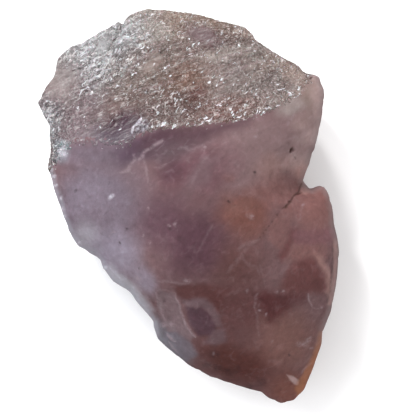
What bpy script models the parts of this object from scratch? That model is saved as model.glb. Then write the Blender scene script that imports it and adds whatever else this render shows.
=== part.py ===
# Auralite: one broken chunk of violet quartz, lying on the flattest of its broken sides.
# Blender 4.5: blender --background --python part.py
#
# The chunk is one solid. Its top is a smooth, gently domed crystal face. The end at +Y is the
# crystal's old outside, a rough etched skin that slopes down from a ridge. A smaller crystal
# grew against the main one at +X, and a seam with a notch at its end shows where they meet.
# Plan and heights below are in millimetres: +X right, +Y towards the rough end, +Z up.

import math

import bmesh
import bpy
import numpy as np
from mathutils import Vector, noise
from mathutils.geometry import delaunay_2d_cdt

MM = 0.001
NODE = "auralite"

# The rim is the outline seen from above, where the top turns over into the side: x, y, height.
SKIN_RIM = [
    (-23.5, 16.2, 8.0), (-22.3, 18.6, 7.8), (-21.0, 20.4, 7.6), (-20.4, 23.4, 7.4),
    (-18.2, 25.2, 7.8), (-16.8, 25.5, 8.0), (-13.1, 27.6, 8.2), (-10.8, 28.9, 8.4),
    (-10.2, 28.5, 8.8), (-9.2, 30.0, 8.6), (-6.4, 30.9, 9.0), (-3.1, 30.7, 9.0),
    (0.8, 30.2, 9.2), (5.1, 28.9, 9.6), (8.2, 28.2, 9.8), (9.3, 27.7, 10.0),
    (10.1, 26.9, 10.2), (10.6, 25.9, 10.6), (13.2, 24.1, 11.0), (15.0, 23.0, 11.6),
    (17.2, 21.9, 12.0), (18.3, 20.6, 12.8), (19.5, 20.4, 13.0),
]
RIGHT_RIM = [
    (20.4, 20.0, 13.4), (21.1, 17.9, 14.2), (21.2, 16.4, 14.6), (20.6, 12.8, 15.2),
    (19.7, 8.8, 15.2), (18.4, 5.2, 14.4), (17.9, 3.8, 14.0),
]
SIDE_CRYSTAL_RIM = [
    (18.9, 2.7, 13.2), (20.3, 3.3, 13.4), (21.2, 3.0, 13.4), (21.9, 1.9, 13.6),
    (22.6, -0.9, 14.0), (22.7, -2.6, 14.2), (23.3, -5.3, 14.4), (23.5, -7.0, 14.4),
    (23.2, -11.6, 13.8), (22.3, -16.3, 12.6), (21.0, -19.7, 11.4), (21.0, -21.3, 11.0),
    (19.7, -25.2, 10.0), (18.2, -28.8, 9.0), (16.6, -30.5, 8.2), (14.6, -31.0, 7.8),
    (12.6, -30.1, 8.0), (11.5, -29.2, 8.4),
]
LEFT_RIM = [
    (7.9, -28.2, 9.0), (3.5, -26.7, 9.4), (0.0, -24.8, 9.8), (-3.3, -22.1, 10.2),
    (-4.7, -20.8, 10.4), (-5.4, -18.6, 11.0), (-5.3, -18.0, 11.2), (-8.0, -14.9, 11.6),
    (-8.9, -13.5, 11.6), (-11.7, -11.7, 11.2), (-12.7, -10.3, 11.0), (-13.1, -9.8, 11.2),
    (-13.6, -8.3, 11.6), (-15.0, -7.5, 11.4), (-17.1, -6.3, 11.0), (-18.3, -4.5, 11.2),
    (-19.4, -1.5, 11.6), (-20.2, 0.5, 11.6), (-21.0, 3.0, 11.4), (-21.5, 4.9, 11.0),
]
SKIN_STRIP_RIM = [
    (-21.9, 5.8, 10.6), (-21.4, 8.7, 10.2), (-21.7, 11.3, 9.4), (-21.6, 12.3, 9.0),
    (-22.4, 13.7, 8.6), (-23.0, 15.0, 8.2),
]
RIM = SKIN_RIM + RIGHT_RIM + SIDE_CRYSTAL_RIM + LEFT_RIM + SKIN_STRIP_RIM

# The ridge between the rough skin and the smooth face, from the left rim to the right rim.
RIDGE = [
    (-21.5, 4.9, 11.0), (-20.5, 6.3, 12.8), (-19.6, 7.6, 14.0), (-18.2, 9.0, 15.6),
    (-16.9, 9.9, 17.0), (-14.6, 10.2, 18.8), (-12.5, 9.6, 20.4), (-10.3, 9.3, 21.8),
    (-8.9, 9.5, 22.4), (-7.8, 10.4, 22.8), (-5.9, 10.9, 23.4), (-3.6, 11.7, 24.0),
    (-0.4, 12.0, 24.4), (2.7, 12.4, 24.4), (5.8, 13.1, 24.0), (9.0, 13.7, 23.2),
    (12.1, 14.3, 22.0), (15.0, 15.7, 20.0), (17.2, 17.0, 18.0), (18.4, 18.6, 16.2),
    (19.0, 19.8, 14.6), (19.5, 20.4, 13.0),
]
# Heights that give the two parts of the top their form: x, y, height.
SKIN_CONTROLS = [
    (-19.5, 15.5, 11.4), (-15.2, 19.8, 12.8), (-13.8, 13.6, 17.0), (-10.4, 25.6, 12.2),
    (-5.9, 22.8, 15.8), (-5.2, 16.8, 20.0), (1.9, 17.2, 20.6), (3.4, 23.0, 16.8),
    (11.2, 19.0, 18.4), (9.0, 24.0, 14.6), (-18.4, 22.4, 10.0),
]
FACE_CONTROLS = [
    (-4.4, 7.3, 24.9), (-5.9, 1.0, 24.6), (-5.1, -6.9, 22.8), (-3.6, -12.4, 20.6),
    (2.0, -21.0, 17.6), (12.6, -27.6, 12.8), (6.6, 7.3, 25.2), (12.9, 8.8, 23.6),
    (17.6, 12.0, 20.0), (3.5, 1.0, 25.4), (3.5, -6.9, 24.2), (-13.8, 4.9, 19.8),
    (-16.9, 5.7, 16.6), (-14.6, 0.2, 19.0), (-18.2, 0.2, 15.2), (-13.0, -4.5, 18.6),
    (-16.1, -4.0, 15.4), (-9.9, -8.8, 19.0), (-6.7, -12.4, 18.4), (6.6, -14.7, 22.4),
    (8.2, -21.0, 18.6), (15.0, 0.0, 21.2), (11.0, -4.5, 23.2), (20.1, 1.0, 17.4),
    (17.6, -2.9, 20.4), (19.2, -6.9, 20.2), (20.4, -12.4, 18.4), (16.1, -13.1, 20.8),
    (15.3, -21.0, 17.4), (17.2, -24.2, 14.4), (14.6, -28.8, 11.0),
]
# The narrow bevel that runs inside the side crystal's outer rim.
BEVEL = [
    (21.3, -0.3, 15.4), (22.0, -4.0, 15.9), (22.2, -8.0, 16.0), (22.0, -12.4, 15.3),
    (21.2, -17.1, 13.9), (20.2, -19.7, 13.0), (19.3, -22.6, 12.2), (18.2, -25.3, 11.2),
    (17.2, -27.4, 10.4), (15.9, -29.3, 9.4),
]

# Flat crystal faces that cut the domed top, each through three points: x, y, height.
FACETS = [
    [(-5.6, 8.0, 24.6), (-4.6, -12.0, 21.2), (-19.6, 0.5, 13.0)],     # long left flank
    [(-5.2, -8.0, 22.2), (-1.0, -19.0, 18.4), (-12.4, -9.5, 14.0)],   # lower left flank
    [(8.4, 14.0, 24.0), (9.6, 3.0, 24.6), (20.6, 10.0, 17.2)],        # right flank
    [(-2.0, -12.6, 21.2), (16.0, -12.6, 21.2), (13.0, -28.6, 12.0)],  # lower face
    [(15.6, -1.0, 20.9), (14.6, -9.0, 21.0), (23.0, -5.0, 15.8)],     # right of the side crystal
    [(15.0, -12.0, 20.6), (15.4, -20.0, 16.8), (22.0, -15.0, 14.6)],  # below it, to the bevel
]

# Grooves in the top: plan of the bottom line, depth at its first point, half width.
SEAM = {"line": [(17.9, 3.8), (17.0, 2.6), (16.1, 1.3), (15.0, 0.0), (13.7, -1.2),
                 (12.3, -2.9)], "depth": 0.8, "half": 0.7}
SKIN_GROOVE = {"line": [(-10.2, 28.5), (-11.0, 26.7), (-11.6, 25.2), (-12.5, 23.7)],
               "depth": 0.55, "half": 1.4}
SKIN_VALLEY = {"line": [(10.6, 25.9), (8.6, 24.8), (6.4, 23.4), (4.3, 22.2)],
               "depth": 0.8, "half": 1.5}
# Shallow bowls where flakes broke off: centre, half length, half width, turn, depth.
FLAKES = [
    {"at": (-2.4, -17.0), "half": (4.3, 2.7), "turn": -69.0, "depth": 0.7},
    {"at": (-7.2, 12.4), "half": (2.3, 1.6), "turn": 40.0, "depth": 0.7},
    {"at": (16.2, -26.8), "half": (1.7, 1.3), "turn": -60.0, "depth": 0.4},
]

# Broken underside: flat facets from a level foot up to these points just outside the rim.
FOOT = [
    (-12.2, 15.1), (-2.8, 20.6), (8.2, 18.3), (13.7, 10.4), (12.1, -0.6),
    (9.8, -11.6), (4.3, -16.3), (-2.8, -10.0), (-9.9, -0.6),
]
UNDER_OUTER = [
    (-26.5, 16.5, 3.6), (-21.5, 27.5, 3.2), (-6.0, 34.5, 4.6), (10.5, 31.0, 4.4),
    (23.5, 22.5, 7.6), (24.5, 12.0, 9.8), (21.5, 3.5, 9.4), (26.5, -6.0, 9.8),
    (24.5, -20.5, 7.2), (15.5, -34.5, 4.4), (2.0, -29.5, 5.0), (-8.5, -20.5, 6.6),
    (-17.0, -11.0, 7.0), (-24.5, 1.0, 6.4),
]

# Mesh spacing, and the forms too many to place one by one.
RIM_STEP = 1.25
SKIN_STEP = 0.88
FACE_STEP = 1.3
UNDER_STEP = 1.7
SEAM_STEP = 0.8
UNEVENNESS = 0.18          # each free grid point strays from its place by this share of the step
CLEARANCE = 0.68           # and keeps this share of the step clear of fixed points
LINE_CLEARANCE = 0.45      # points round a flake scar keep this clear of rim and ridge
SPOKE_CLEARANCE = 0.6      # points along the underside's facet edges: share of their step
WALL_INSET = 1.1           # how far the side leans in from the rim to the underside
WALL_INSET_WANDER = 0.9    # share by which that lean varies along the rim
WALL_ROWS = 3
WALL_ROUNDING = 1.6        # above 1 the side is steep under the rim and leans in lower down
RIM_WANDER, RIM_WANDER_SIZE = 1.3, 9.0    # the rim rises and falls this much along its way
WALL_RIPPLE, WALL_RIPPLE_SIZE = 0.5, 3.2
FACET_FADE = 3.0           # flat faces blend into the rim over this distance
FLATNESS = 0.88            # share of the doming that a flat face takes away
GRAIN_TURN = 25.0          # degrees from +X: the run of the skin's ledges
LEDGE_LENGTH, LEDGE_WIDTH, LEDGE_HEIGHT = 7.5, 2.6, 0.55
LUMP_SIZE, LUMP_HEIGHT = 2.4, 0.34
BREAK_SIZE, BREAK_HEIGHT = 6.0, 0.45
FADE = 1.6                 # the roughness dies out this close to a rim or ridge
SHEET_SLACK = 0.02         # lets a fitted sheet pass slightly beside uneven control heights
SLIVER = 0.001             # a triangle smaller than this lies flat along the rim
SEED = 23

VIOLET = (0.19, 0.105, 0.12, 1.0)
POLISH = 0.28


def fill_gaps(points, step, closed=False):
    """Adds evenly spaced points wherever two neighbours are further apart than step."""
    ends = points[1:] + points[:1] if closed else points[1:]
    filled = []
    for start, end in zip(points, ends):
        start, end = np.array(start), np.array(end)
        pieces = math.ceil(np.linalg.norm((end - start)[:2]) / step)
        filled += [start + (end - start) * i / pieces for i in range(pieces)]
    if not closed:
        filled.append(np.array(points[-1]))
    return np.array(filled)


def distances(plan, others):
    """Distance from each point in plan to each of the others."""
    return np.linalg.norm(plan[:, None, :2] - others[None, :, :2], axis=2)


def inside(plan, loop):
    """True for each point that lies inside a closed loop."""
    x, y = plan[:, 0], plan[:, 1]
    result = np.zeros(len(plan), bool)
    for start, end in zip(loop, np.roll(loop, -1, axis=0)):
        if start[1] == end[1]:
            continue
        crosses = (start[1] > y) != (end[1] > y)
        at = start[0] + (y - start[1]) * (end[0] - start[0]) / (end[1] - start[1])
        result ^= crosses & (x < at)
    return result


def fit_sheet(controls):
    """Thin-plate surface through control points, as a function of plan positions."""
    count = len(controls)

    def bend(gaps):
        return gaps ** 2 * np.log(np.maximum(gaps, 1e-6))

    def tilt(plan):
        return np.column_stack([np.ones(len(plan)), plan[:, :2]])

    slack = SHEET_SLACK * np.eye(count)
    system = np.zeros((count + 3, count + 3))
    system[:count, :count] = bend(distances(controls, controls)) + slack
    system[:count, count:] = tilt(controls)
    system[count:, :count] = tilt(controls).T
    weights = np.linalg.solve(system, np.append(controls[:, 2], np.zeros(3)))
    return lambda plan: bend(distances(plan, controls)) @ weights[:count] + tilt(plan) @ weights[count:]


def scatter(loop, step, fixed, random):
    """Points of a slightly uneven triangular grid inside a loop, clear of the fixed points."""
    low, high = loop[:, :2].min(axis=0), loop[:, :2].max(axis=0)
    row_gap = step * math.sqrt(3) / 2
    rows = np.arange(low[1], high[1], row_gap)
    grid = [(x, y) for i, y in enumerate(rows)
            for x in np.arange(low[0] + (i % 2) * step / 2, high[0], step)]
    grid = np.array(grid) + random.uniform(-UNEVENNESS, UNEVENNESS, (len(grid), 2)) * step
    clear = distances(grid, fixed).min(axis=1) > CLEARANCE * step
    return grid[clear & inside(grid, loop)]


def is_skin(plan):
    """True where a point of the top lies on the rough side of the ridge."""
    ridge = np.array(RIDGE)
    return plan[:, 1] > np.interp(plan[:, 0], ridge[:, 0], ridge[:, 1])


def line_distance(plan, line):
    """Distance to a polyline, and how far along it the nearest point is, from 0 to 1."""
    line = np.array(line)
    steps = np.linalg.norm(np.diff(line[:, :2], axis=0), axis=1)
    starts = np.append(0, np.cumsum(steps))
    nearest = np.full(len(plan), np.inf)
    along = np.zeros(len(plan))
    for start, end, length, run in zip(line, line[1:], steps, starts):
        way = (end - start)[:2] / length
        t = np.clip((plan[:, :2] - start[:2]) @ way, 0, length)
        gap = np.linalg.norm(plan[:, :2] - start[:2] - t[:, None] * way, axis=1)
        closer = gap < nearest
        nearest = np.where(closer, gap, nearest)
        along = np.where(closer, (run + t) / starts[-1], along)
    return nearest, along


def groove(plan, cut):
    """Depth of a V-shaped groove that dies out towards its last point."""
    gap, along = line_distance(plan, cut["line"])
    return cut["depth"] * np.clip(1 - gap / cut["half"], 0, 1) * (1 - along)


def flake(plan, scar):
    """Depth of a shallow oval bowl with a crisp edge."""
    turn = math.radians(scar["turn"])
    offset = plan[:, :2] - scar["at"]
    long = (offset[:, 0] * math.cos(turn) + offset[:, 1] * math.sin(turn)) / scar["half"][0]
    wide = (offset[:, 1] * math.cos(turn) - offset[:, 0] * math.sin(turn)) / scar["half"][1]
    return scar["depth"] * np.clip(1 - long ** 2 - wide ** 2, 0, 1)


def flake_edge(scar, step):
    """Points round the edge of a flake scar, so that the mesh follows it."""
    turn = math.radians(scar["turn"])
    count = round(math.pi * sum(scar["half"]) / step)
    angles = np.arange(count) * 2 * math.pi / count
    long, wide = scar["half"][0] * np.cos(angles), scar["half"][1] * np.sin(angles)
    return np.column_stack([scar["at"][0] + long * math.cos(turn) - wide * math.sin(turn),
                            scar["at"][1] + long * math.sin(turn) + wide * math.cos(turn)])


def waves(plan, size_along, size_across, turn, layer):
    """Smooth noise from -1 to 1, stretched along a direction in plan."""
    turn = math.radians(turn)
    along = (plan[:, 0] * math.cos(turn) + plan[:, 1] * math.sin(turn)) / size_along
    across = (plan[:, 1] * math.cos(turn) - plan[:, 0] * math.sin(turn)) / size_across
    return np.array([noise.noise(Vector((u, v, layer))) for u, v in zip(along, across)])


def skin_relief(plan, border):
    """Ledges and lumps of the etched skin, fading out at its border."""
    fade = np.clip(distances(plan, border).min(axis=1) / FADE, 0, 1)
    ledges = np.tanh(2.5 * waves(plan, LEDGE_LENGTH, LEDGE_WIDTH, GRAIN_TURN, SEED))
    lumps = waves(plan, LUMP_SIZE, LUMP_SIZE, 0, SEED + 7)
    return fade * (LEDGE_HEIGHT / 2 * ledges + LUMP_HEIGHT * lumps)


def cut_flat(plan, heights, corners, fade):
    """Lowers a domed height to the plane through three corners, where the plane is below it."""
    a, b, c = np.array(corners)
    normal = np.cross(b - a, c - a)
    plane = a[2] - ((plan[:, :2] - a[:2]) @ normal[:2]) / normal[2]
    return heights - FLATNESS * fade * np.maximum(heights - plane, 0)


def top_heights(plan, rim, ridge):
    """Height of the top at each plan position: skin on one side of the ridge, face on the other."""
    on_skin = is_skin(rim)
    skin = fit_sheet(np.vstack([rim[on_skin], ridge[1:-1], SKIN_CONTROLS]))
    face = fit_sheet(np.vstack([rim[~on_skin], ridge[1:-1], FACE_CONTROLS, BEVEL]))
    rough = skin(plan) + skin_relief(plan, np.vstack([rim, ridge]))
    rough -= groove(plan, SKIN_GROOVE) + groove(plan, SKIN_VALLEY)
    smooth = face(plan)
    fade = np.clip(distances(plan, rim).min(axis=1) / FACET_FADE, 0, 1)
    for corners in FACETS:
        smooth = cut_flat(plan, smooth, corners, fade)
    smooth -= groove(plan, SEAM)
    scars = sum(flake(plan, scar) for scar in FLAKES)
    return np.where(is_skin(plan), rough, smooth) - scars


def under_facets():
    """Corner points and triangles of the broken underside, foot included."""
    corners = [(x, y, 0.0) for x, y in FOOT] + UNDER_OUTER
    foot_edges = [(i, (i + 1) % len(FOOT)) for i in range(len(FOOT))]
    outer_edges = [(i, i + 1) for i in range(len(FOOT), len(corners) - 1)]
    outer_edges.append((len(corners) - 1, len(FOOT)))
    plan = [Vector(corner[:2]) for corner in corners]
    found = delaunay_2d_cdt(plan, foot_edges + outer_edges, [], 1, 1e-6, True)
    triangles = [[found[3][i][0] for i in face] for face in found[2]]
    return np.array(corners), triangles


def under_heights(plan, corners, triangles):
    """Height of the broken underside at each plan position."""
    heights = np.zeros(len(plan))
    for triangle in triangles:
        a, b, c = corners[triangle]
        sides = np.column_stack([b[:2] - a[:2], c[:2] - a[:2]])
        share = np.linalg.solve(sides, (plan[:, :2] - a[:2]).T).T
        held = (share.min(axis=1) >= -1e-9) & (share.sum(axis=1) <= 1 + 1e-9)
        heights[held] = (a[2] + share @ np.array([b[2] - a[2], c[2] - a[2]]))[held]
    foot = fill_gaps(FOOT, UNDER_STEP / 3, closed=True)
    off_foot = np.clip(distances(plan, foot).min(axis=1) / FADE, 0, 1)
    off_foot[inside(plan, np.array(FOOT))] = 0
    return heights + off_foot * BREAK_HEIGHT * waves(plan, BREAK_SIZE, BREAK_SIZE, 0, SEED + 3)


def triangulate(loop, lines, free):
    """Plan points, and the triangles between a loop, fixed lines inside it and free points."""
    points = [Vector(p[:2]) for p in loop]
    edges = []
    for line in lines:
        edges += [(len(points) + i, len(points) + i + 1) for i in range(len(line) - 1)]
        points += [Vector(p[:2]) for p in line]
    points += [Vector(p[:2]) for p in free]
    count = len(loop)
    edges += [(i, (i + 1) % count) for i in range(count)]
    found = delaunay_2d_cdt(points, edges, [], 0, 1e-4, True)
    names = [sorted(sources)[0] for sources in found[3]]
    points = np.array(points)
    triangles = np.array([[names[i] for i in face] for face in found[2]])
    a, b, c = points[triangles].transpose(1, 2, 0)
    area = np.abs((b[0] - a[0]) * (c[1] - a[1]) - (c[0] - a[0]) * (b[1] - a[1])) / 2
    kept = inside(((a + b + c) / 3).T, loop) & (area > SLIVER)
    return points, triangles[kept].tolist()


def rim_inward(rim):
    """Unit plan direction from each rim point towards the stone."""
    along = np.roll(rim, -3, axis=0)[:, :2] - np.roll(rim, 3, axis=0)[:, :2]
    along /= np.linalg.norm(along, axis=1)[:, None]
    return np.column_stack([along[:, 1], -along[:, 0]])


def build_rings(rim, corners, triangles):
    """Rings of the side, from the rim down to the underside."""
    lower = rim.copy()
    inward = rim_inward(rim)
    wander = waves(rim, BREAK_SIZE, BREAK_SIZE, 0, SEED + 5)
    lean = WALL_INSET * (1 + WALL_INSET_WANDER * wander)
    lower[:, :2] += inward * lean[:, None]
    lower[:, 2] = under_heights(lower, corners, triangles)
    rings = [rim]
    for row in range(1, WALL_ROWS):
        t = row / WALL_ROWS
        ring = rim + (lower - rim) * np.array([t ** WALL_ROUNDING, t ** WALL_ROUNDING, t])
        dent = WALL_RIPPLE * np.abs(waves(rim, WALL_RIPPLE_SIZE, WALL_RIPPLE_SIZE, 0, SEED + row))
        ring[:, :2] += inward * dent[:, None]
        rings.append(ring)
    return rings + [lower]


def build_points():
    """All points and triangles of the closed stone, in millimetres."""
    random = np.random.default_rng(SEED)
    rim = fill_gaps(RIM, RIM_STEP, closed=True)
    rim[:, 2] += RIM_WANDER * waves(rim, RIM_WANDER_SIZE, RIM_WANDER_SIZE, 0, SEED + 11)
    corners, triangles = under_facets()
    rings = build_rings(rim, corners, triangles)

    ridge = fill_gaps(RIDGE, SKIN_STEP)
    inner_ridge = ridge[1:-1]
    seam = fill_gaps(SEAM["line"], SEAM_STEP)[1:]
    seam_way = np.gradient(seam, axis=0)
    seam_side = np.column_stack([seam_way[:, 1], -seam_way[:, 0]])
    seam_side *= SEAM["half"] / np.linalg.norm(seam_way, axis=1)[:, None]
    banks = np.vstack([seam[2:] + seam_side[2:], seam[2:] - seam_side[2:]])
    bevel = fill_gaps(BEVEL, RIM_STEP)
    edges = np.vstack([flake_edge(scar, SKIN_STEP) for scar in FLAKES])
    edges = edges[distances(edges, np.vstack([rim, ridge])).min(axis=1) > LINE_CLEARANCE]
    fixed = np.vstack([part[:, :2] for part in (rim, inner_ridge, seam, banks, bevel, edges)])
    fine = scatter(rim, SKIN_STEP, fixed, random)
    coarse = scatter(rim, FACE_STEP, fixed, random)
    free = np.vstack([banks, edges, fine[is_skin(fine)], coarse[~is_skin(coarse)]])
    plan, top = triangulate(rim, [inner_ridge, seam, bevel], free)
    heights = top_heights(plan, rim, ridge)
    heights[:len(rim)] = rim[:, 2]
    points = np.column_stack([plan, heights])

    faces = [tuple(face) for face in top]
    start = 0
    for ring in rings[1:]:
        base = len(points)
        for i in range(len(rim)):
            j = (i + 1) % len(rim)
            faces.append((start + i, start + j, base + j, base + i))
        points = np.vstack([points, ring])
        start = base

    lower = rings[-1]
    foot = fill_gaps(FOOT, UNDER_STEP, closed=True)
    spokes = [fill_gaps([tuple(corners[a]), tuple(corners[b])], UNDER_STEP)[1:]
              for a, b in facet_edges(triangles)]
    spokes = np.vstack(spokes)
    crowded = np.vstack([lower[:, :2], foot])
    near = distances(spokes, crowded).min(axis=1) < SPOKE_CLEARANCE * UNDER_STEP
    spokes = spokes[inside(spokes, lower) & ~near]
    fixed = np.vstack([lower[:, :2], foot, spokes[:, :2]])
    loose = scatter(lower, UNDER_STEP, fixed, random)
    foot_line = np.vstack([foot, foot[:1]])
    plan, bottom = triangulate(lower, [foot_line], np.vstack([spokes[:, :2], loose]))
    heights = under_heights(plan, corners, triangles)
    extra = np.column_stack([plan, heights])[len(lower):]
    shift = len(points) - len(lower)
    faces += [tuple(start + i if i < len(lower) else shift + i for i in face) for face in bottom]
    return np.vstack([points, extra]), faces


def facet_edges(triangles):
    """Edges of the underside's facets that run between the foot and the outer points."""
    found = set()
    for triangle in triangles:
        for a, b in zip(triangle, triangle[1:] + triangle[:1]):
            if min(a, b) < len(FOOT) <= max(a, b):
                found.add((min(a, b), max(a, b)))
    return sorted(found)


def make_material():
    """Violet quartz."""
    material = bpy.data.materials.new(NODE)
    material.use_nodes = True
    shader = material.node_tree.nodes["Principled BSDF"]
    shader.inputs["Base Color"].default_value = VIOLET
    shader.inputs["Roughness"].default_value = POLISH
    shader.inputs["Metallic"].default_value = 0.0
    material.diffuse_color = VIOLET
    return material


def make_stone():
    """The stone as one closed mesh object, standing on its foot at the origin."""
    points, faces = build_points()
    bm = bmesh.new()
    corners = [bm.verts.new(point * MM) for point in points]
    for face in faces:
        bm.faces.new([corners[i] for i in face])
    loose = [vert for vert in bm.verts if not vert.link_faces]
    bmesh.ops.delete(bm, geom=loose, context="VERTS")
    bmesh.ops.triangulate(bm, faces=bm.faces)
    bmesh.ops.recalc_face_normals(bm, faces=bm.faces)
    low = np.min([vert.co for vert in bm.verts], axis=0)
    high = np.max([vert.co for vert in bm.verts], axis=0)
    centre = Vector(((low[0] + high[0]) / 2, (low[1] + high[1]) / 2, low[2]))
    bmesh.ops.translate(bm, vec=-centre, verts=bm.verts)
    mesh = bpy.data.meshes.new(NODE)
    bm.to_mesh(mesh)
    bm.free()
    mesh.materials.append(make_material())
    stone = bpy.data.objects.new(NODE, mesh)
    bpy.context.scene.collection.objects.link(stone)
    return stone


for existing in list(bpy.data.objects):
    bpy.data.objects.remove(existing)
make_stone()
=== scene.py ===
import math

import bmesh
import bpy
import numpy as np
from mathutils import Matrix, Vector, kdtree, noise


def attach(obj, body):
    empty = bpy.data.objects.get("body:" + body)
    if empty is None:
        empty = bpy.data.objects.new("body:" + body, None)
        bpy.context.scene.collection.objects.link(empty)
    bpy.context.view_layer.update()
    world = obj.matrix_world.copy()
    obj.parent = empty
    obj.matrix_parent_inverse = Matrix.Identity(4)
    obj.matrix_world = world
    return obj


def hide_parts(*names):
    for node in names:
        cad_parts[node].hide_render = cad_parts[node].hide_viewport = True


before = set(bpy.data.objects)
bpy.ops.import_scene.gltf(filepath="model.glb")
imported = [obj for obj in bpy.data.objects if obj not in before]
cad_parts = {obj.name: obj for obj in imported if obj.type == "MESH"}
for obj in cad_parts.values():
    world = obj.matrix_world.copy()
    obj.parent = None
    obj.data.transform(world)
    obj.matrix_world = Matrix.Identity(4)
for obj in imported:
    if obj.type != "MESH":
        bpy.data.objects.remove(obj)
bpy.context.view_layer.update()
mm = 0.001
noise.seed_set(41)    # without a seed noise_vector starts from the clock

# All places are in millimetres from the middle of the stone: +X right, +Y to the rough end.
ridgeLine = [
    (-21.5, 4.9), (-20.5, 6.3), (-19.6, 7.6), (-18.2, 9.0), (-16.9, 9.9), (-14.6, 10.2),
    (-12.5, 9.6), (-10.3, 9.3), (-8.9, 9.5), (-7.8, 10.4), (-5.9, 11.0), (-3.6, 11.6),
    (-0.4, 11.9), (2.7, 12.1), (5.8, 12.5), (9.0, 13.2), (12.1, 14.1), (15.0, 15.6),
    (17.2, 17.0), (18.4, 18.6), (19.0, 19.8), (19.5, 20.4),
]

# The stone's colours, as screen colours from 0 to 255. The patches below name them.
quartzTints = {
    "mauve": (118, 86, 88), "warmGrey": (130, 107, 103),            # where no patch lies
    "deepPlum": (75, 42, 54), "deepViolet": (75, 48, 66), "plum": (90, 52, 66), "wine": (90, 25, 50),
    "garnet": (105, 20, 20), "oxblood": (92, 38, 40), "bark": (90, 38, 26), "chestnut": (96, 50, 48),
    "redwood": (108, 56, 54), "cocoa": (105, 76, 72), "rust": (125, 73, 60), "brick": (128, 86, 78),
    "rosewood": (138, 92, 87), "raspberry": (132, 83, 90), "amber": (165, 105, 70),
    "duskyMauve": (110, 89, 95), "greyViolet": (114, 98, 110), "greyRose": (124, 102, 106),
    "smoke": (114, 106, 116), "slate": (90, 86, 95), "rose": (136, 109, 110),
    "paleViolet": (130, 116, 129), "lilac": (148, 137, 152), "mist": (170, 165, 173),
    "steel": (136, 143, 146), "frostGrey": (152, 160, 165), "peach": (190, 146, 137),
    "paleRose": (180, 152, 150), "blush": (168, 142, 138), "warmRose": (158, 120, 113),
    "clay": (142, 122, 114), "russet": (138, 104, 90), "roseGrey": (142, 124, 129),
    "oat": (156, 142, 138), "stoneGrey": (128, 120, 118), "ash": (160, 158, 158),
    "sand": (184, 159, 143), "pearl": (200, 189, 180), "cream": (211, 187, 175),
    "silverSheen": (190, 190, 192), "whiteSilver": (205, 199, 204), "frostAndHighlight": (180, 195, 200),
}

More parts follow.
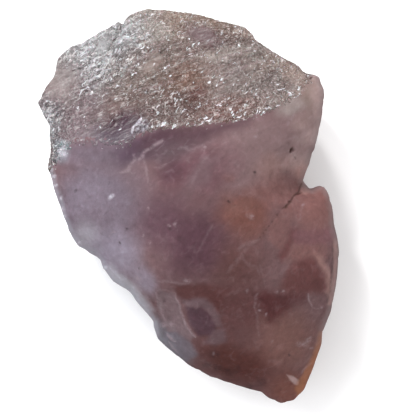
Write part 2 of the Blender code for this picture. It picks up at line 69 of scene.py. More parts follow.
# Soft patches of colour: centre, reach, turn in degrees, softness of the edge, strength, colour.
faceZones = {
    "upperRight": ((10.6, 8.8), (9.1, 5.2), 15, 0.6, 0.9, "rose"),
    "ridgeCorner": ((15.9, 15.2), (2.4, 1.2), 25, 0.6, 0.8, "oat"),
    "frostFace": ((-19.0, 8.2), (1.3, 1.1), 0, 0.6, 0.9, "frostGrey"),
    "paleSlant": ((2.6, 6.2), (3.6, 0.7), 58, 0.8, 0.5, "chestnut"),
    "smudgeLeft": ((-2.3, 5.4), (1.7, 1.3), 0, 0.9, 0.75, "deepPlum"),
    "smudgeRight": ((6.5, 4.3), (0.9, 0.5), 0, 0.8, 0.5, "brick"),
    "rustBelow": ((7.4, -8.6), (4.2, 5.0), 15, 1.0, 0.6, "bark"),
    # painted reflection of the window along the lower left rim, these three patches
    "blueRimSheen": ((-9.9, -12.7), (3.2, 1.2), -45, 0.7, 0.7, "frostGrey"),
    "lowSheen": ((-6.4, -11.4), (2.2, 1.5), -45, 0.8, 0.7, "lilac"),
    "blueRimLowSheen": ((-3.2, -21.4), (3.4, 1.2), -45, 0.7, 0.48, "steel"),
    "brownRim": ((-13.9, -7.8), (1.4, 0.6), -40, 0.7, 0.5, "garnet"),
    "cornerGrey": ((19.2, 17.4), (2.0, 3.0), 0, 0.6, 0.8, "clay"),
    "rightStrip": ((20.6, 13.0), (1.1, 5.4), 8, 0.6, 0.7, "paleRose"),
    "rosePatch": ((17.9, 12.9), (1.8, 1.4), 20, 0.7, 0.6, "blush"),
    "rightGlow": ((18.9, 10.6), (2.2, 1.0), 20, 0.8, 0.8, "paleRose"),
    "notchGlow": ((17.8, 5.2), (1.4, 1.6), 0, 0.7, 0.7, "peach"),
    "shoulder": ((20.8, 2.7), (2.2, 1.9), 0, 0.9, 0.92, "chestnut"),
    "lavenderRight": ((16.7, 7.1), (2.1, 1.4), 30, 0.6, 0.6, "paleRose"),
    "warmTan": ((13.2, 6.0), (3.0, 1.7), 10, 0.7, 0.5, "warmRose"),
    "duskRight": ((13.4, 2.4), (3.4, 2.2), 0, 0.7, 0.7, "rosewood"),
    "middle": ((1.9, 5.7), (5.5, 3.5), 20, 0.8, 0.6, "wine"),
    "slantBand": ((1.9, 4.4), (4.2, 1.2), 49, 0.8, 0.5, "greyRose"),
    # painted reflection of the window on the left flank
    "leftSheen": ((-14.1, -1.5), (7.5, 9.0), -15, 0.45, 0.95, "greyViolet"),
    "upperPurple": ((-13.0, 8.2), (8.0, 1.8), 2, 0.7, 0.8, "greyViolet"),
    "underRidge": ((-6.4, 8.9), (4.6, 1.7), 20, 0.6, 0.85, "deepViolet"),
    # painted reflection of the window, this patch and the next
    "brightSpot": ((-15.4, -5.0), (2.0, 2.0), 0, 1.0, 0.65, "mist"),
    "blueSheen": ((-10.8, -7.7), (3.3, 3.8), 45, 0.7, 0.75, "lilac"),
    "blueUpper": ((-14.7, 1.8), (3.4, 2.5), 0, 0.8, 0.6, "paleViolet"),
    "greyLeft": ((-17.2, 0.0), (1.1, 2.4), 10, 0.7, 0.5, "paleViolet"),
    "plumCore": ((-3.3, -2.4), (4.0, 3.6), 0, 0.7, 0.8, "plum"),
    "crimsonCore": ((1.6, -5.6), (3.6, 5.4), -35, 0.7, 0.85, "plum"),
    "rustPatch": ((8.7, -1.2), (3.7, 3.0), -10, 0.7, 0.8, "rust"),
    "orangeSpot": ((8.0, -0.4), (1.6, 0.9), 15, 0.8, 0.6, "brick"),
    "sideTop": ((19.5, 0.2), (3.6, 4.0), 0, 0.5, 0.85, "rosewood"),
    "sideMid": ((17.9, -7.0), (3.4, 1.6), 0, 0.6, 0.7, "rosewood"),
    "lowerMid": ((7.5, -16.2), (6.5, 3.6), 0, 0.6, 0.75, "chestnut"),
    "lowerRight": ((15.0, -20.7), (4.8, 4.6), 0, 0.6, 0.85, "brick"),
    "lowerDark": ((7.6, -24.0), (6.8, 3.4), -22, 0.7, 0.85, "bark"),
    "lowerLeft": ((-3.2, -20.8), (2.6, 4.2), 38, 0.6, 0.7, "slate"),
    "tipBrown": ((16.1, -28.5), (3.5, 2.8), 0, 0.6, 0.85, "rust"),
}
# Flat patches, most inside the crystal: softness of the edge, strength, colour, corners. The pale blue edge
# at the lower left is a painted reflection of the window, and the pale chip at the tip a painted highlight.
facePanes = {
    "dusk": (2.6, 0.85, "deepPlum", [
        (-7.5, 8.8), (-5.9, 11.0), (-3.6, 11.8), (0.4, 12.0), (5.0, 12.4), (9.8, 13.2), (9.0, 12.2),
        (4.6, 10.6), (1.2, 8.8), (-0.4, 7.4), (-3.6, 6.4), (-5.9, 7.0)]),
    # painted reflection of the window along the lower left edge
    "blueEdgeSheen": (1.4, 0.75, "mist", [
        (-12.9, -10.0), (-11.7, -11.7), (-8.9, -13.5), (-8.0, -14.9), (-6.2, -16.8), (-5.2, -16.0),
        (-6.6, -13.9), (-7.8, -12.2), (-10.4, -10.4), (-11.8, -8.7)]),
    "chipPane": (0.45, 0.7, "greyRose", [
        (-4.8, -13.5), (-4.2, -12.7), (-1.8, -13.3), (-1.2, -14.7), (-0.6, -16.6), (0.2, -18.5),
        (1.3, -19.9), (0.4, -20.7), (-1.5, -19.4), (-3.1, -19.4), (-4.0, -17.2), (-4.7, -15.2)]),
    "chipFoot": (0.8, 0.7, "smoke", [
        (-3.4, -19.4), (-1.5, -19.6), (0.4, -20.8), (1.5, -22.9), (-0.1, -24.3), (-1.8, -23.0),
        (-3.7, -21.0)]),
    "upperPlum": (0.8, 0.6, "duskyMauve", [
        (-1.1, -13.9), (2.7, -13.8), (4.0, -15.0), (4.9, -16.6), (5.4, -18.3), (4.4, -18.2), (3.7, -16.6),
        (2.4, -15.3), (-0.1, -15.3)]),
    "darkPlum": (0.7, 0.6, "deepViolet", [
        (-0.1, -15.3), (2.4, -15.3), (3.7, -16.6), (4.4, -18.2), (3.8, -19.6), (1.6, -19.7), (0.4, -18.2)]),
    "greyPlum": (0.9, 0.6, "duskyMauve", [
        (4.0, -18.8), (5.7, -18.5), (6.0, -20.7), (4.4, -21.2), (2.4, -21.0), (3.5, -19.6)]),
    "bandLeft": (1.1, 0.85, "chestnut", [
        (-2.2, -12.0), (0.4, -11.7), (2.9, -11.6), (4.1, -12.0), (6.5, -12.5), (5.5, -13.3), (5.5, -15.2),
        (4.4, -15.5), (3.3, -14.2), (2.2, -13.8), (-0.7, -14.1), (-1.7, -13.3)]),
    "bandRight": (2.0, 0.85, "oxblood", [
        (10.2, -13.3), (12.0, -12.8), (15.0, -13.1), (17.9, -13.1), (18.3, -14.4), (16.2, -14.9),
        (15.1, -16.0), (13.9, -16.9), (12.6, -17.7), (11.7, -16.1), (11.0, -14.7)]),
    "window": (1.6, 0.8, "redwood", [
        (18.1, -7.8), (19.5, -7.8), (20.1, -8.8), (21.1, -10.3), (21.4, -12.2), (20.8, -13.3),
        (18.3, -13.1), (15.3, -13.3), (13.9, -12.2), (15.1, -9.7), (16.2, -8.6)]),
    "windowLight": (1.0, 0.5, "peach", [
        (19.4, -7.0), (20.6, -7.8), (21.7, -9.7), (22.3, -11.7), (21.9, -14.2), (21.2, -13.1),
        (21.4, -12.0), (21.1, -10.3), (20.1, -8.8)]),
    "sideLeft": (0.9, 0.5, "rosewood", [
        (13.1, -1.8), (14.3, -0.6), (15.7, 0.5), (16.2, -0.9), (15.7, -2.5), (15.4, -4.5), (14.3, -6.4),
        (13.2, -5.9), (12.0, -5.0), (12.4, -3.1)]),
    "sideWedge": (1.0, 0.4, "garnet", [
        (15.7, -3.3), (16.7, -3.3), (16.2, -4.8), (15.7, -6.2), (15.0, -7.8), (14.3, -8.4), (13.7, -7.5),
        (14.5, -6.2), (15.4, -4.5)]),
    "purpleBand": (0.7, 0.55, "raspberry", [
        (16.5, -3.6), (22.5, -3.4), (23.0, -5.3), (19.5, -5.8), (16.4, -5.8), (15.9, -4.7)]),
    "seamWedge": (0.4, 0.4, "peach", [
        (17.8, 3.5), (18.3, 3.2), (19.0, 2.4), (18.1, 1.6), (17.3, 1.9), (17.5, 2.9)]),
    "rightRim": (0.7, 0.6, "peach", [
        (22.5, -5.0), (23.0, -5.3), (23.1, -8.8), (22.8, -12.4), (22.2, -15.2), (21.7, -15.2),
        (22.3, -12.4), (22.5, -8.8)]),
    # painted highlight on a small chip at the tip
    "tipChip": (0.3, 0.8, "paleRose", [
        (15.3, -25.9), (16.1, -26.2), (17.5, -27.1), (17.2, -27.9), (16.5, -27.6)]),
    "orangeRim": (0.7, 0.8, "amber", [
        (21.1, -19.0), (20.9, -21.8), (20.0, -24.5), (18.9, -26.7), (18.1, -28.7), (17.2, -29.8),
        (16.7, -28.2), (17.6, -26.3), (18.9, -24.1), (19.8, -21.8), (20.3, -19.7)]),
}
skinZones = {
    "farTop": ((-4.4, 28.5), (11.0, 2.8), 0, 0.6, 0.8, "sand"),
    # silvery patches on the upper left, here and in the other silver-tinted patches: paler frosted skin
    # with a painted sheen of the window
    "silverSheen": ((-12.6, 24.5), (8.0, 5.4), 30, 0.6, 0.9, "silverSheen"),
    "leftPoint": ((-21.6, 15.3), (2.0, 2.2), 0, 0.7, 0.8, "silverSheen"),
    "topGlow": ((-4.8, 26.0), (2.2, 1.8), 0, 0.7, 0.8, "pearl"),
    "topRim": ((-7.5, 29.9), (2.6, 1.0), 10, 0.7, 0.5, "pearl"),
    "topLeftRim": ((-9.3, 29.3), (1.3, 0.9), 30, 0.7, 0.5, "stoneGrey"),
    "silverLow": ((-17.2, 20.4), (2.2, 1.5), 30, 0.8, 0.6, "whiteSilver"),
    "midGlow": ((4.2, 23.0), (2.6, 1.1), 20, 0.7, 0.6, "pearl"),
    "farRight": ((9.4, 27.0), (2.2, 1.0), -30, 0.7, 0.6, "cream"),
    "upperRightRim": ((15.4, 21.3), (3.2, 1.3), -40, 0.8, 0.75, "cream"),
    "ridgeGlow": ((15.0, 16.4), (2.6, 0.9), 25, 0.6, 0.7, "cream"),
    "silverCore": ((-10.0, 25.4), (1.6, 1.3), 40, 0.5, 0.8, "silverSheen"),
    "silverGap": ((-9.1, 23.5), (1.9, 1.3), 30, 0.8, 0.7, "slate"),
    "greyDome": ((-12.9, 24.8), (1.8, 1.1), 60, 0.9, 0.5, "ash"),
    "tan": ((-5.9, 21.1), (6.3, 4.1), 20, 0.6, 0.8, "clay"),
    "leftGrey": ((-18.5, 15.4), (5.7, 5.3), 0, 0.6, 0.8, "roseGrey"),
    "tanLeft": ((-19.6, 19.4), (3.2, 3.4), 20, 0.6, 0.6, "oat"),
    "rust": ((0.4, 18.8), (4.0, 2.8), 20, 0.7, 0.85, "russet"),
    "rustCore": ((1.3, 17.0), (1.3, 0.9), 10, 0.7, 0.7, "garnet"),
    "mauvePatch": ((2.4, 26.6), (3.1, 1.6), -20, 0.6, 0.9, "greyRose"),
    "mauveSmall": ((10.6, 20.6), (2.6, 1.0), 40, 0.6, 0.6, "cream"),
    "rightPink": ((11.0, 17.5), (7.8, 4.1), -25, 0.6, 0.8, "oat"),
    # painted light on the slope that falls away to the upper right
    "rightShoulderLight": ((9.8, 23.7), (3.0, 1.3), -20, 0.8, 0.5, "pearl"),
    "ridgeLeft": ((-12.0, 10.3), (6.4, 1.9), 3, 0.6, 0.85, "smoke"),
    "speckleBelt": ((6.0, 14.6), (5.6, 1.8), 14, 0.6, 0.7, "warmRose"),
    "beltLeft": ((-1.5, 15.6), (3.4, 1.8), 15, 0.7, 0.6, "cocoa"),
    "lowerLeftSkin": ((-17.7, 10.7), (4.7, 2.2), 25, 0.6, 0.8, "roseGrey"),
    "purpleLow": ((-9.8, 12.3), (3.8, 1.9), 20, 0.7, 0.85, "deepViolet"),
    # bluish white left corner: pale frosting with painted highlight
    "frostAndHighlight": ((-19.0, 8.5), (1.8, 1.4), 0, 0.6, 0.9, "frostAndHighlight"),
    "edgeStrip": ((-20.6, 9.4), (0.8, 3.0), 0, 0.6, 0.6, "slate"),
    "edgeUpper": ((-21.4, 12.4), (1.4, 2.2), 0, 0.7, 0.7, "silverSheen"),
    "chipFace": ((-6.4, 12.2), (1.0, 0.8), 50, 0.7, 0.7, "smoke"),
}

# How lively the skin's relief and sparkle are: 1 is usual, 0 smooth.
livelyZones = {
    "rightCalm": ((6.5, 19.5), (8.5, 5.5), -15, 0.5, 0.7),
    "silverSheen": ((-12.0, 23.8), (6.5, 4.2), 30, 0.5, 1.4),
    "dome": ((-12.9, 24.8), (1.5, 0.9), 60, 0.7, 0.5),
    "tanLeft": ((-20.0, 19.2), (3.0, 3.4), 20, 0.5, 0.35),
    "tanSmooth": ((-5.5, 21.9), (1.7, 1.3), 20, 0.5, 0.35),
    "purpleLow": ((-10.4, 12.8), (3.6, 1.9), 20, 0.5, 0.0),
    "mauvePatch": ((2.4, 26.6), (2.6, 1.4), -20, 0.5, 0.4),
    "belt": ((5.5, 14.8), (6.5, 1.6), 14, 0.5, 1.0),
    "lowerLeft": ((-13.5, 13.5), (6.0, 3.4), 10, 0.5, 0.6),
    "crackle": ((-0.5, 7.4), (5.0, 2.6), 15, 0.6, 1.8),
    "haze": ((-13.5, -1.0), (6.5, 8.0), -15, 0.5, 0.4),
    "upperCorner": ((16.5, 18.4), (2.6, 1.6), -40, 0.6, 0.6),
    "leftCorner": ((-18.9, 8.3), (1.3, 1.2), 0, 0.5, 1.4),
    "silverGap": ((-8.9, 23.3), (1.6, 1.1), 30, 0.6, 0.8),
    "ridgeLeft": ((-12.2, 10.5), (6.0, 1.5), 3, 0.6, 0.3),
    "leftSilver": ((-21.4, 13.6), (1.8, 2.0), 0, 0.5, 1.3),
}

# Lines on and just under the surface: kind, half width, strength, rise, points.
strokes = {
    "veil": ("pale", 0.5, 0.42, 0.0, [
        (-10.2, 5.2), (-8.9, 5.4), (-8.0, 6.5), (-6.9, 7.3), (-6.1, 8.2), (-5.0, 9.0), (-3.6, 9.9)]),
    "veilHook": ("pale", 0.3, 0.34, 0.0, [(-8.0, 6.5), (-7.8, 7.3), (-8.1, 7.7), (-7.8, 7.9)]),
    "veilDrop": ("pale", 0.36, 0.3, 0.0, [
        (-6.4, 7.4), (-6.4, 6.5), (-6.1, 5.4), (-5.9, 4.4), (-5.8, 3.5)]),
    "veilFeather": ("pale", 0.25, 0.22, 0.0, [(-8.9, 5.4), (-8.3, 4.9), (-7.7, 5.1)]),
    "topStreak": ("pale", 0.5, 0.3, 0.0, [(15.0, 12.1), (15.4, 12.9), (16.1, 13.7)]),
    "pitStreak": ("pale", 0.3, 0.28, 0.0, [(16.8, 9.9), (17.5, 10.6), (18.3, 11.3)]),
    "hazeLine": ("dark", 0.3, 0.28, 0.0, [(-12.7, -1.4), (-11.9, -0.7), (-11.3, -0.1)]),
    "thinLine": ("pale", 0.32, 0.15, 0.0, [(3.8, -2.8), (2.7, -4.8), (1.6, -7.0)]),
    "crackLine": ("pale", 0.5, 0.2, 0.0, [(10.9, -5.0), (9.6, -5.3), (8.5, -6.1), (7.6, -6.7)]),
    "bandLine": ("pale", 0.4, 0.24, 0.0, [
        (-4.4, -11.4), (-3.1, -11.3), (-2.0, -11.4), (-0.9, -11.7), (0.2, -11.6)]),
    # the chip's pale edge lines, from here to the last chip streak: painted highlight along the chip's
    # edges
    "chipRight": ("pale", 0.34, 0.5, 0.10, [
        (-1.7, -13.5), (-1.1, -15.0), (-0.7, -16.4), (-0.3, -17.9), (0.4, -18.8), (0.8, -19.7),
        (1.3, -20.1)]),
    "chipLeft": ("pale", 0.45, 0.32, 0.05, [
        (-4.8, -13.1), (-4.5, -14.1), (-4.0, -15.2), (-3.7, -16.6), (-3.4, -17.5)]),
    "chipTop": ("pale", 0.25, 0.22, 0.0, [(-4.7, -12.8), (-3.1, -12.7), (-1.7, -13.3)]),
    "chipStreak": ("pale", 0.34, 0.65, 0.10, [(-3.1, -19.7), (-2.5, -20.4), (-1.8, -20.8)]),
    "chipStreakLow": ("pale", 0.34, 0.42, 0.08, [(-2.8, -21.0), (-2.3, -21.8), (-1.5, -22.7)]),
    "sideTick": ("pale", 0.26, 0.6, 0.0, [(18.4, -13.3), (18.7, -14.4), (19.0, -15.3)]),
    "tipLine": ("pale", 0.28, 0.4, 0.0, [(19.2, -24.3), (18.3, -25.1), (17.5, -25.9)]),
    "seam": ("crack", 0.30, 0.75, -0.02, [
        (17.6, 3.7), (17.2, 2.9), (17.0, 2.1), (16.4, 1.6), (15.6, 0.7), (15.0, 0.0), (14.5, -0.4)]),
    "seamFaint": ("dark", 0.20, 0.16, -0.02, [
        (14.3, -0.6), (13.2, -1.8), (12.3, -2.9), (11.0, -4.7)]),
    "seamPale": ("pale", 0.6, 0.14, 0.0, [(11.0, -4.7), (9.3, -5.9), (7.6, -8.0), (6.0, -10.0)]),
    "innerLineA": ("pale", 0.45, 0.14, 0.0, [(10.9, -14.7), (10.7, -16.3), (10.7, -18.2), (11.0, -20.1)]),
    "innerLineB": ("pale", 0.4, 0.24, 0.0, [(10.7, -13.0), (10.4, -13.9), (10.2, -15.2), (10.6, -16.1)]),
    "innerLineC": ("pale", 0.4, 0.1, 0.0, [(11.0, -8.8), (11.5, -10.3), (11.7, -11.9)]),
    "seamHook": ("crack", 0.20, 0.8, -0.05, [(17.6, 2.1), (17.0, 1.9), (16.4, 1.6)]),
    "curlLine": ("pale", 0.4, 0.13, 0.0, [
        (9.5, -5.8), (8.4, -6.9), (8.5, -8.1), (9.1, -8.8), (10.2, -9.1), (10.9, -10.2)]),
    "wispA": ("pale", 0.5, 0.2, 0.0, [
        (-1.2, 8.5), (-0.3, 8.8), (0.4, 8.5), (1.0, 8.4), (1.6, 8.8), (2.7, 9.3)]),
    "wispB": ("pale", 0.6, 0.14, 0.0, [(0.8, 3.5), (1.5, 4.9), (2.2, 6.3), (3.2, 7.6), (4.4, 8.8)]),
    "wispC": ("pale", 0.4, 0.18, 0.0, [(-4.7, 5.7), (-3.9, 5.7), (-3.1, 6.3)]),
    "rustBand": ("pale", 0.55, 0.13, 0.0, [(7.9, 1.8), (9.5, 1.8), (11.7, 1.1)]),
    "sideStreak": ("pale", 0.36, 0.2, 0.0, [(17.6, 0.4), (17.3, -0.7), (17.0, -2.2)]),
    "cornerLine": ("pale", 0.22, 0.28, 0.0, [(19.0, -15.3), (19.8, -15.7), (20.6, -15.7)]),
    "rightEdge": ("dark", 0.26, 0.35, 0.0, [(22.2, -5.3), (22.3, -7.8), (22.0, -11.6), (21.5, -14.7)]),
    "ringMark": ("pale", 0.2, 0.34, 0.0, [(-11.9, -4.7), (-11.7, -4.2), (-11.3, -3.9), (-10.8, -4.0)]),
    "pitArc": ("pale", 0.24, 0.26, 0.0, [(15.1, 9.9), (15.7, 10.4), (16.5, 10.6), (17.2, 10.1)]),
    # On the skin from here on: dark strokes that sink are painted shade in the groove, the creases and
    # below the ledges; pale strokes that rise are painted highlight on the ledge crests.
    "groove": ("dark", 0.50, 0.45, -0.30, [
        (-10.0, 28.8), (-11.0, 26.9), (-11.6, 25.3), (-12.4, 24.1)]),
    "ledgeLong": ("pale", 0.35, 0.39, 0.13, [(-7.3, 17.6), (-5.5, 17.9), (-3.6, 18.4), (-1.7, 19.0)]),
    "ledgeShade": ("dark", 0.35, 0.33, -0.07, [
        (-7.0, 17.0), (-5.3, 17.3), (-3.4, 17.8), (-1.5, 18.4)]),
    "bandUpper": ("pale", 0.40, 0.30, 0.12, [(4.9, 22.5), (6.9, 23.1), (8.8, 23.6), (11.3, 24.5)]),
    "bandUpperShade": ("dark", 0.45, 0.27, -0.09, [
        (5.2, 21.7), (7.3, 22.3), (9.1, 22.8), (11.5, 23.6)]),
    "bandLower": ("pale", 0.40, 0.30, 0.12, [
        (5.5, 19.7), (7.4, 20.6), (9.1, 21.4), (10.6, 21.9), (12.1, 22.3)]),
    "bandLowerShade": ("dark", 0.45, 0.27, -0.09, [
        (5.8, 18.9), (7.7, 19.7), (9.5, 20.4), (11.7, 21.2)]),
    "waveCrest": ("pale", 0.40, 0.36, 0.13, [
        (-9.4, 20.0), (-8.3, 21.5), (-7.0, 22.6), (-5.1, 23.6), (-3.9, 25.0), (-2.8, 26.3)]),
    "waveShade": ("dark", 0.40, 0.27, -0.09, [
        (-8.6, 20.1), (-7.7, 21.4), (-6.6, 22.2), (-4.8, 23.0), (-3.4, 24.2)]),
    "creaseLeft": ("dark", 0.35, 0.33, -0.12, [(-16.1, 13.7), (-15.0, 13.9), (-13.9, 14.3)]),
    "crestLeft": ("pale", 0.35, 0.33, 0.09, [(-21.3, 12.4), (-20.1, 12.6), (-18.8, 12.8), (-16.9, 13.5)]),
    "creaseLeftLow": ("dark", 0.30, 0.30, -0.09, [(-16.4, 11.7), (-14.9, 12.6), (-13.3, 13.4)]),
    "patchEdge": ("dark", 0.40, 0.39, -0.15, [(-11.1, 12.9), (-9.9, 13.7), (-8.8, 14.2), (-7.7, 14.5)]),
    # the chip's bright crescent is a painted highlight on its edge
    "chipCrescent": ("frostAndHighlight", 0.36, 0.9, 0.10, [(-8.3, 11.0), (-8.0, 11.8), (-7.3, 12.6), (-6.7, 13.4)]),
    "crestFoot": ("pale", 0.30, 0.33, 0.07, [(-15.2, 10.6), (-14.4, 10.2), (-13.6, 9.8)]),
    "creaseMid": ("dark", 0.35, 0.27, -0.09, [(-1.2, 16.7), (0.4, 17.3), (2.4, 17.6), (4.3, 18.3)]),
    "creaseRight": ("dark", 0.35, 0.24, -0.09, [(8.2, 17.3), (10.1, 18.3), (11.7, 18.9), (13.2, 20.0)]),
    "creaseTop": ("dark", 0.35, 0.21, -0.09, [(-5.9, 26.1), (-4.0, 27.2), (-1.8, 27.8), (0.4, 28.1)]),
    "creaseTopRight": ("dark", 0.35, 0.21, -0.09, [(2.7, 23.6), (4.4, 24.5), (6.0, 25.3), (8.2, 26.1)]),
}

# Specks: kind, long and short reach, turn, strength, rise, places.
specks = {
    "inclusions": ("dark", (0.24, 0.20), 0, 0.75, 0.0, [
        (-11.6, 3.5), (-10.3, -5.6), (-7.2, -9.4), (-3.4, -14.4), (-17.1, 2.4), (-9.1, -3.4),
        (6.2, 0.7), (12.1, 15.1), (-18.0, 14.8), (-2.6, -3.3), (10.2, 5.1), (16.4, 7.4),
        (15.7, -22.9)]),
    "seamDots": ("crack", (0.30, 0.20), 50, 0.9, -0.06, [(15.0, 0.0), (15.6, 0.7)]),
    "seamDotsFaint": ("crack", (0.17, 0.13), 50, 0.6, 0.0, [
        (13.6, -1.3), (12.8, -2.3), (12.3, -3.0), (11.9, -3.6), (11.5, -4.1), (11.0, -4.6)]),
    "pit": ("crack", (0.42, 0.25), 60, 1.0, -0.45, [(15.95, 8.5)]),
    "sparks": ("pale", (0.26, 0.17), 35, 0.55, 0.0, [
        (-5.6, -5.5), (-2.6, -2.9), (-1.8, -2.6), (-6.6, -4.4), (-5.8, -0.4), (0.0, -11.3),
        (9.8, -1.5), (11.0, -15.7), (12.0, -16.3), (17.8, -21.2), (18.6, -20.8), (19.2, -21.9),
        (18.9, -20.2), (12.9, -20.7), (4.1, -22.6), (20.6, -15.5), (13.4, -13.0), (14.5, -12.8),
        (9.1, -12.7), (-12.7, -9.9), (10.2, 10.4), (2.7, 8.8), (17.6, 0.2), (18.7, 13.5)]),
    "blotches": ("dark", (0.80, 0.55), 0, 0.45, 0.0, [
        (2.9, -24.5), (4.6, -24.9), (6.2, -25.6), (7.9, -25.1), (11.5, -27.3), (4.3, -22.7), (9.6, -28.2)]),
    "lumps": ("pale", (0.50, 0.40), 0, 0.40, 0.0, [
        (0.0, -11.3), (18.1, -21.2), (17.2, -21.2), (18.6, -20.7), (-3.6, -18.3), (-2.5, -18.2),
        (9.5, -1.5), (-7.5, -11.0)]),
    # a white fleck on the left flank: pale frosting with painted highlight
    "hazeChip": ("frostAndHighlight", (0.50, 0.26), 45, 0.6, 0.0, [(-11.5, 1.4)]),
    "glints": ("glint", (0.30, 0.15), 48, 0.70, 0.06, [
        (-12.2, 23.9), (-15.0, 24.5), (-17.2, 24.2), (-16.0, 25.0), (-15.8, 21.7), (-14.6, 21.2),
        (-13.0, 19.2), (-16.3, 16.2), (-10.2, 21.5), (-13.1, 20.8), (-8.0, 23.9), (-4.0, 21.1),
        (-2.6, 19.8), (-1.4, 23.0), (-6.6, 21.9), (1.8, 25.0), (1.8, 27.4), (3.3, 18.7),
        (11.0, 18.3), (7.4, 20.8), (12.0, 23.1), (12.0, 22.2), (7.4, 24.7), (6.8, 17.6),
        (13.5, 19.5), (13.9, 18.6), (14.0, 17.6), (15.4, 16.7), (19.7, 19.4), (17.0, 17.9),
        (6.5, 14.5), (6.3, 16.1), (10.4, 16.8), (-0.6, 15.6), (0.2, 13.5), (12.0, 14.6),
        (-10.3, 25.5), (-9.2, 25.9), (-9.7, 24.8)]),
    # frost marks here and below, in the left corner, along the left rim and on the chip: pale frosting with
    # painted highlight
    "frostCore": ("frostAndHighlight", (0.70, 0.45), 20, 0.65, 0.0, [(-19.4, 8.6), (-19.1, 8.1)]),
    "rimFrost": ("frostAndHighlight", (0.32, 0.22), 60, 0.5, 0.05, [
        (-21.0, 5.6), (-20.6, 4.6), (-20.4, 3.2), (-19.6, 1.2), (-19.3, -0.4), (-19.0, -1.6),
        (-16.6, -5.6), (-12.5, -9.4)]),
    "chipFrost": ("frostAndHighlight", (0.36, 0.22), 55, 0.4, 0.0, [
        (-7.4, 11.6), (-6.9, 12.3), (-6.3, 12.8), (-6.0, 12.0), (-6.6, 11.6)]),
}

# The surface's shape. Lengths are in millimetres, and in metres where they say mm.
stoneValues = {
    "weld": 0.01 * mm,
    "facetPasses": 5,                   # smoothing of the flat faces' meeting lines
    "softness": 0.5, "softPasses": 2,
    "rimKeep": 0.4,                     # the outline keeps its corners within this distance
    "floorLevel": 0.05 * mm,
    "markReach": 0.25, "markStep": 0.215,    # finer mesh this near a mark, down to this step
    "crispEdge": 0.5,                   # and along the panes whose edge is sharper than this
    "foldHeight": 0.20, "foldLong": 2.7, "foldWide": 0.75, "foldTurn": 30.0,
    "warpSize": 2.2, "warpReach": 0.7,
    "ledgeHeight": 0.20, "ledgeSpacing": 1.9, "ledgeTurn": 24.0,
    "grainHeight": 0.21, "grainLong": 1.0, "grainWide": 0.58, "grainTurn": 58.0,
    "faceWave": 0.10, "faceWaveSize": 6.0,
    "breakHeight": 0.22, "breakSize": 2.6, "breakFine": 0.07, "breakFineSize": 0.8,
}


def smoothStep(share):
    share = np.clip(share, 0.0, 1.0)
    return share * share * (3.0 - 2.0 * share)


def ovalMask(plan, centre, reach, turn, edge):
    # 1 inside an oval patch, fading to 0 over its edge
    angle = math.radians(turn)
    offset = plan - np.array(centre)
    along = offset @ np.array((math.cos(angle), math.sin(angle))) / reach[0]
    across = offset @ np.array((-math.sin(angle), math.cos(angle))) / reach[1]
    return smoothStep((1.0 + edge - np.hypot(along, across)) / (2.0 * edge))


def paneMask(plan, points, edge):
    # 1 inside a polygon, fading to 0 over its edge
    inside = np.zeros(len(plan), bool)
    for (x1, y1), (x2, y2) in zip(points, points[1:] + points[:1]):
        if y1 != y2:
            crossing = x1 + (plan[:, 1] - y1) * (x2 - x1) / (y2 - y1)
            inside ^= ((plan[:, 1] < y1) != (plan[:, 1] < y2)) & (plan[:, 0] < crossing)
    gap = strokeGap(plan, points + points[:1])[0]
    return smoothStep(0.5 + np.where(inside, gap, -gap) / edge)


def strokeGap(plan, points):
    # distance to a polyline, and the share of its length at the nearest place
    points = np.array(points)
    lengths = np.linalg.norm(np.diff(points, axis=0), axis=1)
    starts = np.concatenate([[0.0], np.cumsum(lengths)[:-1]]) / lengths.sum()
    best, share = np.full(len(plan), 1e9), np.zeros(len(plan))
    for a, b, start, length in zip(points, points[1:], starts, lengths / lengths.sum()):
        along = np.clip((plan - a) @ (b - a) / ((b - a) @ (b - a)), 0.0, 1.0)
        gap = np.linalg.norm(plan - a - along[:, None] * (b - a), axis=1)
        share = np.where(gap < best, start + along * length, share)
        best = np.minimum(best, gap)
    return best, share


def strokeMask(plan, points, width):
    # a stroke that thins out towards its ends
    gap, share = strokeGap(plan, points)
    taper = 0.45 + 0.55 * np.sqrt(np.clip(4.0 * share * (1.0 - share), 0.0, 1.0))
    return smoothStep(1.0 - gap / (width * taper))


def drift(plan, size, reach, layer):
    # offsets that make drawn shapes wander
    moves = [noise.noise_vector(Vector((x / size, y / size, layer)))[:2] for x, y in plan]
    return np.array(moves) * reach


def folds(point, long, wide, turn, layer):
    # rounded folds with sharp creases between them, from 0 to 1
    angle = math.radians(turn)
    u = (point.x * math.cos(angle) + point.y * math.sin(angle)) / long
    v = (point.y * math.cos(angle) - point.x * math.sin(angle)) / wide
    height = abs(noise.noise(Vector((u, v, point.z / wide * 0.4 + layer))))
    return min(height * 2.6, 1.0) ** 0.7


def shelves(point, spacing, turn, layer):
    # shelves that climb slowly and break off steeply, from 0 to 1
    angle = math.radians(turn)
    u = point.x * math.cos(angle) + point.y * math.sin(angle)
    v = point.y * math.cos(angle) - point.x * math.sin(angle)
    bend = 1.3 * noise.noise(Vector((u / 5.0, v / 2.2, layer)))
    bend += 0.4 * noise.noise(Vector((u / 1.5, v / 0.9, layer + 4.0)))
    share = (v / spacing + bend) % 1.0
    return share / 0.8 if share < 0.8 else (1.0 - share) / 0.2


def ridgeHeightAt(x):
    # how far towards the rough end the ridge lies at x
    line = np.array(ridgeLine)
    return np.interp(x, line[:, 0], line[:, 1])


